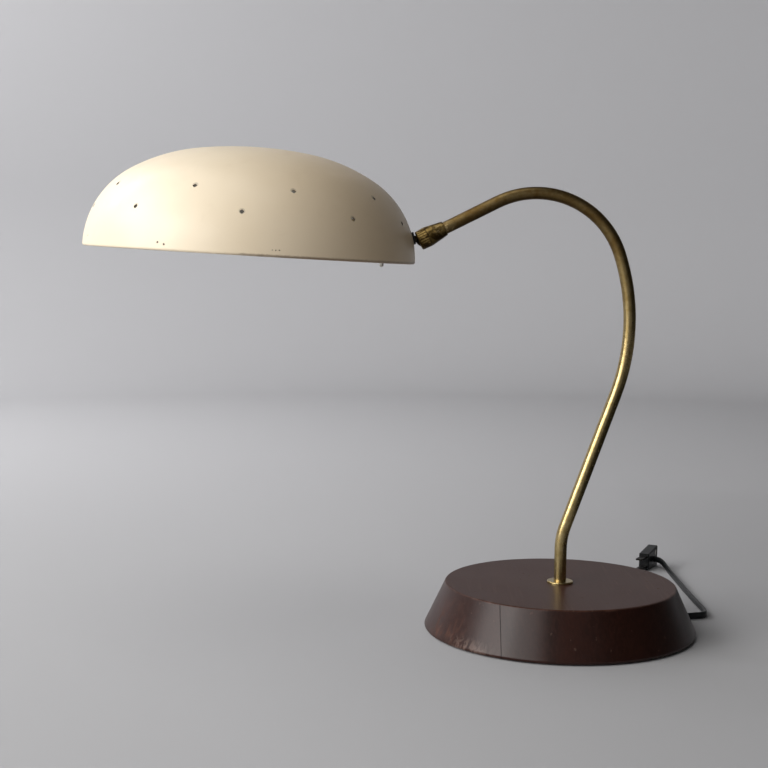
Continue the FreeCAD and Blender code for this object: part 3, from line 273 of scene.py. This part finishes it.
rim_wear = stained_wood.ease(height, 0.0362, 0.0376) * stained_wood.ease(from_axis, 0.0900, 0.0922) \
    * stained_wood.ease(stained_wood.noise(60, 3, start=5.2), 0.52, 0.66)
scratched = stained_wood.spot(scratched_top, 0.008, 0.036) \
    * stained_wood.ease(stained_wood.noise(700, 2, stretch=(1, 0.05, 1), turn=0.9), 0.63, 0.70)
strokes = stained_wood.noise(520, 3, stretch=(1, 0.03, 0), turn=-0.5, start=9.0)
brushed = stained_wood.ease(strokes, 0.52, 0.70) * stained_wood.ease(clouds, 0.42, 0.60) * on_top
nicks = stained_wood.ease(stained_wood.noise(240, 1, start=12.0), 0.735, 0.76)
# Near the foot, left of the joint, the lower edge is painted lighter: partly scuffs and partly a painted
# sheen on the rounded bottom edge.
scuffs = (1 - stained_wood.ease(height, 0.0030, 0.0130)) * stained_wood.spot(sheen_and_scuffs_at_foot, 0.006, 0.030) \
    * stained_wood.ease(stained_wood.noise(260, 4, stretch=(1, 1, 0.5), start=4.4, warp=1.0), 0.42, 0.62)
colour = stained_wood.mix(stained_wood.ease(grain, 0.35, 0.70), (0.0160, 0.0052, 0.0034),
                          (0.0240, 0.0082, 0.0054))
colour = stained_wood.mix(stained_wood.ease(figure, 0.40, 0.75) * 0.55, colour, (0.034, 0.0105, 0.0064))
# Painted light: the top face is painted lighter and redder than the sides, for the light it catches facing
# up and the wall it reflects.
colour = stained_wood.mix(on_top * 0.60, colour, (0.066, 0.0270, 0.0180))
colour = stained_wood.mix(left_board * 0.25, colour, (0.048, 0.0185, 0.0135))
colour = stained_wood.mix(pores * 0.35, colour, (0.008, 0.003, 0.002))
colour = stained_wood.mix(corner_wear * 0.42 + rim_wear * 0.3, colour, (0.135, 0.066, 0.048))
# Scratches, brush strokes and nicks are painted lighter; at the foot this is partly a painted sheen.
colour = stained_wood.mix(scratched * 0.75 + brushed * 0.22 + nicks * 0.2 + scuffs * 0.5, colour,
                          (0.200, 0.135, 0.110))
colour = stained_wood.mix(seam, colour, (0.004, 0.002, 0.002))
stained_wood.cover({
    "Base Color": colour,
    "Roughness": 0.40 + 0.12 * clouds + 0.14 * corner_wear + 0.20 * scratched,
    "Coat Weight": 0.52 - 0.25 * on_top - 0.22 * corner_wear - 0.25 * nicks - 0.10 * scratched
                   - 0.05 * brushed - 0.5 * seam,
    "Normal": stained_wood.relief(
        0.35 * grain + 0.5 * figure - 0.7 * pores - 2.0 * seam - 0.8 * nicks - 0.3 * scratched, 0.00010),
})
stained_wood.put_on("wooden_base")


# Felt: a disc of dark green wool felt glued under the base, so that it doesn't scratch
# what the lamp stands on. Its nap is matted and a little dusty.
felt = Finish("felt", {"Sheen Weight": 0.5, "Sheen Roughness": 0.6, "Roughness": 0.95})
nap = felt.noise(1300, 4, warp=1.5)
matted = felt.noise(70, 3, start=4.0)
colour = felt.mix(felt.ease(nap, 0.35, 0.70), (0.016, 0.032, 0.022), (0.040, 0.068, 0.046))
felt.cover({"Base Color": felt.mix(felt.ease(matted, 0.50, 0.75) * 0.4, colour, (0.085, 0.090, 0.070)),
            "Normal": felt.relief(nap + 0.6 * matted, 0.0004)})
felt.put_on("base_felt")


# Iron weight: a sand-cast disc with a black wash, sealed in the base above the felt.
cast_iron = Finish("cast_iron", {"Metallic": 0.6})
sand = cast_iron.noise(650, 4)
rust = cast_iron.ease(cast_iron.noise(38, 4, start=2.0), 0.56, 0.70)
cast_iron.cover({"Base Color": cast_iron.mix(rust * 0.6, (0.050, 0.050, 0.052), (0.150, 0.062, 0.028)),
                 "Roughness": 0.62 + 0.25 * sand,
                 "Normal": cast_iron.relief(sand, 0.0003)})
cast_iron.put_on("base_weight")


# Nipple, washers and nut that clamp base and weight to the stem, and the plug's screw:
# turned steel with a thin, slightly yellowed zinc plate.
zinc_steel = Finish("zinc_steel", {"Metallic": 1.0})
plate = zinc_steel.noise(180, 3)
tool_marks = zinc_steel.noise(2600, 2, start=5.0)
zinc_steel.cover({"Base Color": zinc_steel.mix(zinc_steel.ease(plate, 0.40, 0.70), (0.52, 0.51, 0.48),
                                               (0.36, 0.33, 0.27)),
                  "Roughness": 0.30 + 0.22 * plate,
                  "Normal": zinc_steel.relief(tool_marks, 0.00002)})
zinc_steel.put_on("stem_nipple", "nipple_washer", "nipple_spring_washer", "nipple_nut", "plug_screw")


# Stem and foot flange: brass tube bent on a former, and a small turned brass disc. The
# polish is worn off; the colour is browner and darker towards the crook and brighter on the
# lower half, and the crook's underside is painted darker as painted shade. Close to the
# socket one small place is painted bright: partly rubbed bare, partly a painted highlight.
aged_brass = Finish("aged_brass", {"Metallic": 1.0})
patches = aged_brass.noise(46, 4, warp=0.6)
mottle = aged_brass.noise(330, 4, start=3.0)
specks = aged_brass.ease(aged_brass.noise(820, 2, start=8.0), 0.66, 0.74)
crook = aged_brass.ease(aged_brass.axes()[2], 0.17, 0.35)
# Painted shade: surfaces that face down are painted darker, most of all under the crook.
painted_shade_below = 1 - aged_brass.ease(aged_brass.dot(aged_brass.facing(), (0, 0, 1)), -0.75, 0.15)
patina = aged_brass.ease(patches + 0.25 * mottle + 0.24 * crook, 0.62, 1.10)
colour = aged_brass.mix(aged_brass.ease(mottle, 0.35, 0.70), (0.46, 0.360, 0.175), (0.37, 0.275, 0.115))
colour = aged_brass.mix(patina * 0.35 + 0.55 * crook, colour, (0.118, 0.062, 0.014))
colour = aged_brass.mix(painted_shade_below * crook * 0.7, colour, (0.045, 0.026, 0.008))
colour = aged_brass.mix(specks * 0.35, colour, (0.100, 0.060, 0.022))
# Painted highlight and wear: one small bright place behind the socket, partly rubbed bare, partly a
# painted highlight.
rubbed_and_glint_end = (-0.0960, -0.0050, 0.3262)
rubbed_and_glint = aged_brass.spot(rubbed_and_glint_end, 0.0015, 0.0060) * aged_brass.ease(mottle, 0.48, 0.58)
colour = aged_brass.mix(rubbed_and_glint * 0.65, colour, (0.560, 0.430, 0.220))
aged_brass.cover({"Base Color": colour,
                  "Roughness": 0.20 + 0.12 * patina + 0.10 * crook + 0.08 * mottle + 0.20 * specks,
                  "Normal": aged_brass.relief(0.5 * mottle + 0.6 * patches - 0.5 * specks, 0.00003)})
aged_brass.put_on("foot_flange", "stem_tube")


# Swivel: a turned brass socket with its slotted set screw, and a fluted clamping ring.
# The metal is darker than the stem, most of all in the flutes and round the seams. Its
# underside is painted darker as painted shade, and one small place on its cheek is painted
# bright: partly rubbed, partly a painted highlight.
dark_brass = Finish("dark_brass", {"Metallic": 1.0})
blotches = dark_brass.noise(150, 4, warp=0.8)
tarnish = dark_brass.noise(620, 4, start=6.0)
stains = dark_brass.ease(dark_brass.noise(300, 3, start=2.0), 0.60, 0.72)
swivel_centre = (-0.11607, 0, 0.31555)
swivel_axis, swivel_side = (-0.8910, 0, -0.4540), (-0.4540, 0, 0.8910)
ring_back, flute_count = -0.0048, 24
from_centre = dark_brass.way_from(swivel_centre)
ahead = dark_brass.dot(from_centre, swivel_axis)
sideways = dark_brass.dot(from_centre, swivel_side)
round_swivel = dark_brass.maths("ARCTAN2", dark_brass.axes()[1], sideways)
on_ring = dark_brass.ease(ahead, ring_back + 0.00004, ring_back + 0.00014) \
    * (1 - dark_brass.ease(ahead, 0.0016, 0.0030))
joint = 1 - dark_brass.ease(abs(ahead - ring_back), 0.0001, 0.0007)
flutes = dark_brass.ease(dark_brass.maths("COSINE", round_swivel * flute_count), -0.2, 0.8) * on_ring
colour = dark_brass.mix(dark_brass.ease(blotches, 0.38, 0.62), (0.42, 0.290, 0.100), (0.085, 0.050, 0.014))
rear = 1 - dark_brass.ease(ahead, -0.0120, -0.0050)
colour = dark_brass.mix(rear * 0.35, colour, (0.050, 0.028, 0.009))
colour = dark_brass.mix(stains * 0.6, colour, (0.040, 0.022, 0.008))
# Painted shade: the underside is painted darker.
painted_shade_below = 1 - dark_brass.ease(dark_brass.dot(dark_brass.facing(), (0, 0, 1)), -0.80, 0.05)
colour = dark_brass.mix(painted_shade_below * 0.85, colour, (0.030, 0.017, 0.006))
# Painted highlight and wear: a small bright place on the cheek, partly rubbed, partly a painted highlight.
rubbed_and_glint_cheek = (-0.1030, -0.0062, 0.3235)
rubbed_and_glint = dark_brass.spot(rubbed_and_glint_cheek, 0.0015, 0.0065) * dark_brass.ease(tarnish, 0.50, 0.60)
colour = dark_brass.mix(rubbed_and_glint * 0.6, colour, (0.520, 0.400, 0.210))
colour = dark_brass.mix(flutes * 0.75 + joint * 0.6, colour, (0.030, 0.017, 0.007))
dark_brass.cover({"Base Color": colour,
                  "Roughness": 0.26 + 0.20 * blotches + 0.15 * stains,
                  "Normal": dark_brass.relief(tarnish - 0.5 * stains, 0.00009)})
dark_brass.put_on("swivel_socket", "swivel_collar", "swivel_set_screw")


# Ball and its stud: brass with a dark patina, painted nearly black, partly as painted shade where the ball
# sits between the socket and the shade.
black_brass = Finish("black_brass", {"Metallic": 1.0})
film = black_brass.noise(420, 4)
black_brass.cover({"Base Color": black_brass.mix(black_brass.ease(film, 0.45, 0.75), (0.045, 0.034, 0.022),
                                                 (0.120, 0.086, 0.045)),
                   "Roughness": 0.38 + 0.2 * film,
                   "Normal": black_brass.relief(film, 0.00004)})
black_brass.put_on("swivel_ball")


# Friction ring behind the ball, and the lampholder's liner: vulcanised fibre, a hard
# red-brown card.
fibre = Finish("fibre")
layers = fibre.noise(900, 3, stretch=(1, 1, 0.2))
mottled = fibre.noise(120, 3, start=4.0)
fibre.cover({"Base Color": fibre.mix(fibre.ease(layers, 0.3, 0.7), (0.150, 0.042, 0.026),
                                     (0.230, 0.080, 0.045)),
             "Roughness": 0.55 + 0.2 * mottled,
             "Normal": fibre.relief(layers, 0.00005)})
fibre.put_on("swivel_seat", "lampholder_liner")


# Shade: spun aluminium in stoved cream enamel outside and a dull grey-beige inside, which
# is darker partly as painted shade, with a faint orange-peel skin. The enamel is chipped
# down to dark metal in a few small places along its lower edge. Towards the stem it is
# warmer, partly yellowed and partly painted warm bounce light on its shaded side. The
# vents, and the hem on that side, are darker, partly grime and partly painted shade.
cream_enamel = Finish("cream_enamel", {"Coat Roughness": 0.22, "IOR": 1.45})
shade_middle, shade_up, shade_tilt = Vector((-0.2534, 0, 0.3013)), Vector((0.0462, 0, 0.9989)), 2.65
across = cream_enamel.axes()[0]
skin = cream_enamel.noise(330, 2)
handling = cream_enamel.noise(12, 3, start=5.0)
smears = cream_enamel.noise(60, 4, start=11.0, warp=1.0)
ragged = cream_enamel.noise(1100, 3, start=2.0) - 0.5
outwards = cream_enamel.way_from(shade_middle)
turned_out = cream_enamel.dot(outwards, cream_enamel.facing())
inside = 1 - cream_enamel.ease(turned_out, -0.004, 0.004)
cut_wall = 1 - cream_enamel.ease(abs(turned_out), 0.025, 0.045)
above_rim = cream_enamel.dot(outwards, shade_up)
# Painted shade: a dark brown band along the hem on the side towards the stem, partly wear and partly
# painted shade under the rolled hem.
hem_wear_and_shade = (1 - cream_enamel.ease(above_rim + 0.0016 * ragged, 0.0008, 0.0025)) \
    * cream_enamel.ease(across + 0.05 * (smears - 0.5), -0.28, -0.20)
# Painted light: warmer towards the stem, partly yellowing and partly painted warm bounce light on the
# shaded side.
yellowed_and_warm_bounce = cream_enamel.ease(across + 0.03 * (handling - 0.5), -0.29, -0.13)
chips = None
for chip_place, chip_size in (
        ((-0.3721, -0.0543, 0.3149), 0.0007),
        ((-0.3102, -0.1182, 0.3098), 0.0008),
        ((-0.3054, -0.1205, 0.3084), 0.0008),
        ((-0.2248, -0.1281, 0.3050), 0.0005),
        ((-0.2222, -0.1276, 0.3050), 0.0005),
        ((-0.2274, -0.1286, 0.3052), 0.0005),
        ((-0.2034, 0.1206, 0.3052), 0.0011),
        ((-0.3370, 0.1010, 0.3085), 0.0008)):
    chip = 1 - cream_enamel.ease(cream_enamel.away_from(chip_place) + 0.0016 * ragged,
                                 chip_size * 0.8, chip_size)
    chips = chip if chips is None else cream_enamel.maths("MAXIMUM", chips, chip)


def shade_spoke(bearing):
    """The direction out from the shade's axis, at degrees from -Y towards +X."""
    turn = math.radians(bearing)
    return Matrix.Rotation(math.radians(shade_tilt), 3, "Y") @ Vector((math.sin(turn), -math.cos(turn), 0))


plain_bearing = 8
upper_vents = (90.0, 57.5, 19.3, -17.1, -59.3, -90.0, -120.7, -162.9, 160.7, 122.5)
lower_vents = (72.2, 40.8, 1.2, -38.2, -72.7, -107.3, -141.8, 178.8, 139.2, 107.8)
# Painted shade: dark rings round the vents and on their cut walls, partly grime and partly painted shade
# in the holes.
vent_dirt_and_shade = None
for vent_height, vent_bearings in ((0.048, upper_vents), (0.031, lower_vents)):
    axis_point = shade_middle + vent_height * shade_up
    plain_wall = node["shade"].ray_cast(axis_point, shade_spoke(plain_bearing))[1]
    for bearing in vent_bearings:
        vent = axis_point + (plain_wall - axis_point).length * shade_spoke(bearing)
        ring = 1 - cream_enamel.ease(cream_enamel.away_from(vent) + 0.0008 * ragged, 0.0020, 0.0028)
        vent_dirt_and_shade = ring if vent_dirt_and_shade is None else cream_enamel.maths("MAXIMUM", vent_dirt_and_shade, ring)
colour = cream_enamel.mix(cream_enamel.ease(handling, 0.35, 0.70), (0.800, 0.690, 0.520),
                          (0.775, 0.660, 0.485))
colour = cream_enamel.mix(cream_enamel.ease(smears, 0.55, 0.80) * 0.10, colour, (0.58, 0.46, 0.31))
colour = cream_enamel.mix(yellowed_and_warm_bounce * 0.55, colour, (0.700, 0.520, 0.315))
# Painted shade: the inside is given a darker grey-beige, partly for the shade inside the dome.
colour = cream_enamel.mix(inside, colour, (0.340, 0.315, 0.270))
colour = cream_enamel.mix(hem_wear_and_shade * 0.8, colour, (0.230, 0.145, 0.080))
colour = cream_enamel.mix(vent_dirt_and_shade * (0.32 + 0.66 * cut_wall), colour, (0.045, 0.030, 0.014))
colour = cream_enamel.mix(chips, colour, (0.090, 0.058, 0.036))
cream_enamel.cover({"Base Color": colour,
                    "Roughness": 0.40 + 0.10 * smears + 0.3 * chips,
                    "Coat Weight": 0.16 - 0.16 * chips,
                    "Normal": cream_enamel.relief(0.5 * skin - 2.5 * chips, 0.00006)})
cream_enamel.put_on("shade")


# Washer between the ball's stud and the shade: black rubber, cut to the wall's curve.
black_rubber = Finish("black_rubber")
bloom = black_rubber.noise(260, 3)
colour = black_rubber.mix(black_rubber.ease(bloom, 0.4, 0.7), (0.010, 0.010, 0.011), (0.028, 0.027, 0.026))
black_rubber.cover({"Base Color": colour,
                    "Roughness": 0.62 + 0.2 * bloom,
                    "Normal": black_rubber.relief(bloom, 0.00005)})
black_rubber.put_on("shade_outer_washer")


# Inner washer, nut and lampholder: thin pressed brass, still fairly clean inside the
# shade, with the bulb's contacts and the terminal screws alike.
bright_brass = Finish("bright_brass", {"Metallic": 1.0})
drawn = bright_brass.noise(900, 3, stretch=(0.1, 1, 1))
fingered = bright_brass.noise(75, 3, start=3.0)
colour = bright_brass.mix(bright_brass.ease(fingered, 0.42, 0.68), (0.66, 0.50, 0.22), (0.50, 0.36, 0.14))
bright_brass.cover({"Base Color": colour,
                    "Roughness": 0.20 + 0.20 * fingered,
                    "Normal": bright_brass.relief(drawn, 0.00002)})
bright_brass.put_on("shade_inner_washer", "shade_nut", "lampholder_cap", "lampholder_shell",
                    "lampholder_screw_shell", "lampholder_contact", "terminal_screws", "bulb_contact")


# Insulating block of the lampholder: white glazed porcelain.
porcelain = Finish("porcelain", {"Coat Weight": 0.5, "Coat Roughness": 0.05})
glaze = porcelain.noise(120, 3)
porcelain.cover({"Base Color": porcelain.mix(porcelain.ease(glaze, 0.4, 0.7), (0.80, 0.78, 0.72),
                                             (0.73, 0.70, 0.62)),
                 "Roughness": 0.12 + 0.1 * glaze,
                 "Normal": porcelain.relief(glaze, 0.0001)})
porcelain.put_on("lampholder_block")


# Candle bulb: opal glass with a faint inner coating, in a bare aluminium screw cap.
opal_glass = Finish("opal_glass", {"Coat Weight": 0.8, "Coat Roughness": 0.03,
                                   "Subsurface Radius": (0.02, 0.02, 0.018)})
milk = opal_glass.noise(60, 3)
opal_glass.cover({"Base Color": opal_glass.mix(opal_glass.ease(milk, 0.4, 0.7), (0.86, 0.85, 0.82),
                                               (0.80, 0.785, 0.745)),
                  "Roughness": 0.16 + 0.08 * milk,
                  "Normal": opal_glass.relief(milk, 0.00015)})
opal_glass.put_on("bulb_glass")
aluminium_cap = Finish("aluminium_cap", {"Metallic": 1.0})
rolled = aluminium_cap.noise(800, 3, stretch=(0.1, 1, 1))
aluminium_cap.cover({"Base Color": aluminium_cap.mix(rolled, (0.70, 0.70, 0.69), (0.58, 0.58, 0.57)),
                     "Roughness": 0.28 + 0.15 * rolled,
                     "Normal": aluminium_cap.relief(rolled, 0.00003)})
aluminium_cap.put_on("bulb_cap")


# Turn key of the lampholder: a cast key in worn nickel plate, whose tip hangs just
# below the hem.
nickel_key = Finish("nickel_key", {"Metallic": 1.0})
worn = nickel_key.noise(240, 4)
nickel_key.cover({"Base Color": nickel_key.mix(nickel_key.ease(worn, 0.45, 0.68), (0.60, 0.575, 0.52),
                                               (0.42, 0.345, 0.21)),
                  "Roughness": 0.22 + 0.25 * worn,
                  "Normal": nickel_key.relief(worn, 0.00005)})
nickel_key.put_on("switch_key")


# Flex inside the lamp and its finish: satin black insulation, with a bloom of dust.
black_flex = Finish("black_flex", {"Specular IOR Level": 0.3})
dust = black_flex.noise(320, 4)
ripple = black_flex.noise(1400, 2, start=3.0)
black_flex.cover({"Base Color": black_flex.mix(black_flex.ease(dust, 0.45, 0.75), (0.0040, 0.0045, 0.0050),
                                               (0.011, 0.012, 0.013)),
                  "Roughness": 0.28 + 0.20 * dust,
                  "Normal": black_flex.relief(ripple, 0.00004)})
black_flex.put_on("base_flex", "stem_lead", "head_lead", "cord")


# Free flex: flat black twin flex with round edges, standing on its edge. It runs from the
# hole in the base's side round to the plug, and it is shown from end to end, so its
# length is what the photograph shows.
flex_route = (
    (0.1025, 0.0308, 0.0028), (0.1112, 0.0330, 0.0028), (0.1204, 0.0356, 0.0028),
    (0.1272, 0.0380, 0.0028), (0.1304, 0.0426, 0.0028), (0.1314, 0.0496, 0.0028),
    (0.1318, 0.0620, 0.0028), (0.1314, 0.0840, 0.0028), (0.1317, 0.1080, 0.0028),
    (0.1318, 0.1340, 0.0028), (0.1325, 0.1600, 0.0028), (0.1329, 0.1860, 0.0028),
    (0.1333, 0.2040, 0.0028), (0.1330, 0.2165, 0.0038), (0.1316, 0.2275, 0.0064),
    (0.1285, 0.2344, 0.0084), (0.1226, 0.2377, 0.0084),
)
flex_line = bpy.data.curves.new("flex_line", "CURVE")
flex_line.dimensions = "3D"
flex_spline = flex_line.splines.new("NURBS")
flex_spline.points.add(len(flex_route) - 1)
for point, place in zip(flex_spline.points, flex_route):
    point.co = (*place, 1)
flex_spline.order_u = 3
flex_spline.use_endpoint_u = True
flex_spline.resolution_u = 12
flex_guide = bpy.data.objects.new("flex_guide", flex_line)
flex_path = [vertex.co.copy() for vertex in bpy.data.meshes.new_from_object(flex_guide).vertices]

# Section of the flex, across and up: the outer arcs of its two cores, joined by flat sides
flex_core, flex_half_gap = 0.00145, 0.00135
arc_half, arc_steps = 62, 14
flex_section = []
for arc_middle, core_place in ((90, flex_half_gap), (270, -flex_half_gap)):
    for step in range(arc_steps + 1):
        turn = math.radians(arc_middle - arc_half + 2 * arc_half * step / arc_steps)
        flex_section.append((flex_core * math.cos(turn), core_place + flex_core * math.sin(turn)))
flex_mesh = bmesh.new()
flex_uv = flex_mesh.loops.layers.uv.new("along")
rings, reach = [], [0.0]
for index, place in enumerate(flex_path):
    if index:
        reach.append(reach[-1] + (place - flex_path[index - 1]).length)
    ahead = flex_path[min(index + 1, len(flex_path) - 1)] - flex_path[max(index - 1, 0)]
    across = ahead.cross(Vector((0, 0, 1))).normalized()
    up = across.cross(ahead).normalized()
    rings.append([flex_mesh.verts.new(place + across * x + up * y) for x, y in flex_section])
around = len(flex_section)
for index in range(len(rings) - 1):
    for step in range(around):
        face = flex_mesh.faces.new((rings[index][step], rings[index][(step + 1) % around],
                                    rings[index + 1][(step + 1) % around], rings[index + 1][step]))
        face.smooth = True
        for loop, (u, v) in zip(face.loops, ((step, index), (step + 1, index),
                                             (step + 1, index + 1), (step, index + 1))):
            loop[flex_uv].uv = (u / around, reach[v])
flex_mesh.faces.new(rings[0])
flex_mesh.faces.new(list(reversed(rings[-1])))
bmesh.ops.recalc_face_normals(flex_mesh, faces=flex_mesh.faces)
free_flex_mesh = bpy.data.meshes.new("free_flex")
flex_mesh.to_mesh(free_flex_mesh)
flex_mesh.free()
free_flex = bpy.data.objects.new("free_flex", free_flex_mesh)
bpy.context.scene.collection.objects.link(free_flex)
free_flex_mesh.materials.append(black_flex.material)
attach(free_flex, "stand")
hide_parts("cord")


# Plug: a small black moulding in two halves on the end of the flex, held by one screw,
# with two flat brass blades coloured nearly black. The cord stop is of the same plastic.
black_plastic = Finish("black_plastic", {"Coat Roughness": 0.10, "Specular IOR Level": 0.2})
flow = black_plastic.noise(90, 3)
scuffs = black_plastic.ease(black_plastic.noise(520, 3, start=4.0), 0.60, 0.74)
colour = black_plastic.mix(scuffs, (0.0040, 0.0044, 0.0048), (0.013, 0.014, 0.015))
black_plastic.cover({"Base Color": colour,
                     "Roughness": 0.30 + 0.1 * flow + 0.2 * scuffs,
                     "Coat Weight": 0.15 - 0.12 * scuffs,
                     "Normal": black_plastic.relief(flow + 0.5 * scuffs, 0.00006)})
black_plastic.put_on("plug_body", "plug_cover", "cord_stop")

dull_brass = Finish("dull_brass", {"Metallic": 1.0})
oxide = dull_brass.noise(260, 4, warp=0.5)
dull_brass.cover({"Base Color": dull_brass.mix(dull_brass.ease(oxide, 0.40, 0.70), (0.009, 0.008, 0.007),
                                               (0.020, 0.017, 0.014)),
                  "Roughness": 0.36 + 0.2 * oxide,
                  "Normal": dull_brass.relief(oxide, 0.00003)})
dull_brass.put_on("plug_blades")
